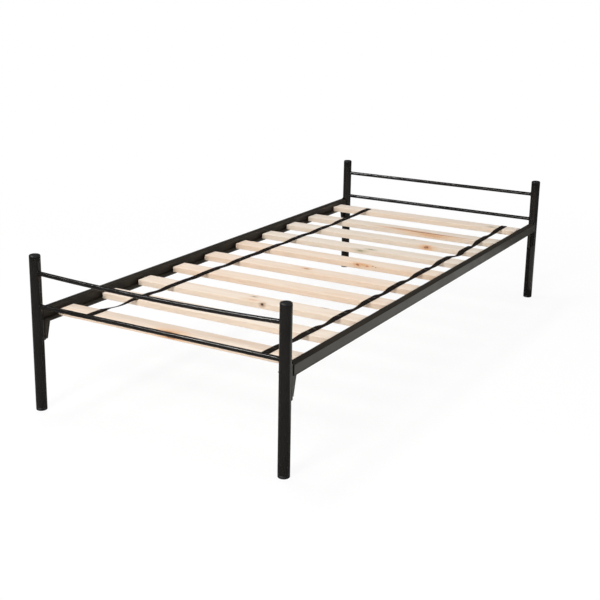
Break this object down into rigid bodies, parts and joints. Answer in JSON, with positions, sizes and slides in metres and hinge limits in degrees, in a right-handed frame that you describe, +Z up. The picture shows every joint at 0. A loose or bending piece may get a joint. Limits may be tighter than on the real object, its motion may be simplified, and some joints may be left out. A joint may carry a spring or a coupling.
{
  "type": "single bed frame",
  "caption": "Low black metal bed frame: round posts joined by two rods at each end, hook-on side rails and wooden slats strapped together.",
  "frame": {"origin": "on the floor under the middle of the bed", "axes": "+Z up, +Y from foot to head, +X to the right side seen from the foot"},
  "size_m": [0.915, 2.065, 0.5],
  "materials": {
    "end_coat": "satin black powder coat",
    "rail_coat": "satin black powder coat",
    "black_plastic": "moulded black plastic",
    "pine": "planed bare pine",
    "webbing": "woven black-brown webbing",
    "staple_wire": "blackened steel wire"
  },
  "bodies": {
    "bed_ends": {"post_foot_left": "end_coat", "post_foot_right": "end_coat", "post_head_left": "end_coat", "post_head_right": "end_coat", "cap_foot_left": "black_plastic", "cap_foot_right": "black_plastic", "cap_head_left": "black_plastic", "cap_head_right": "black_plastic", "glide_foot_left": "black_plastic", "glide_foot_right": "black_plastic", "glide_head_left": "black_plastic", "glide_head_right": "black_plastic", "socket_foot_left": "end_coat", "socket_foot_right": "end_coat", "socket_head_left": "end_coat", "socket_head_right": "end_coat", "foot_upper_rod": "end_coat", "head_upper_rod": "end_coat", "foot_lower_rod": "end_coat", "head_lower_rod": "end_coat"},
    "left_side": {"left_rail": "rail_coat", "left_ledge": "rail_coat", "hook_foot_left": "rail_coat", "hook_head_left": "rail_coat"},
    "right_side": {"right_rail": "rail_coat", "right_ledge": "rail_coat", "hook_foot_right": "rail_coat", "hook_head_right": "rail_coat"},
    "slat_mat": {"slat_1": "pine", "slat_2": "pine", "slat_3": "pine", "slat_4": "pine", "slat_5": "pine", "slat_6": "pine", "slat_7": "pine", "slat_8": "pine", "slat_9": "pine", "slat_10": "pine", "left_strap": "webbing", "right_strap": "webbing", "left_staples": "staple_wire", "right_staples": "staple_wire"}
  },
  "joints": [
    {"name": "left_side_lift", "type": "slide", "parent": "bed_ends", "child": "left_side", "axis": [0, 0, 1], "range_m": [0, 0.29]},
    {"name": "right_side_lift", "type": "slide", "parent": "bed_ends", "child": "right_side", "axis": [0, 0, 1], "range_m": [0, 0.29]},
    {"name": "slat_mat_lift", "type": "slide", "parent": "left_side", "child": "slat_mat", "axis": [0, 0, 1], "range_m": [0, 0.22]}
  ],
  "couplings": [
    {"joint": "right_side_lift", "follows": "left_side_lift", "ratio": 1}
  ]
}
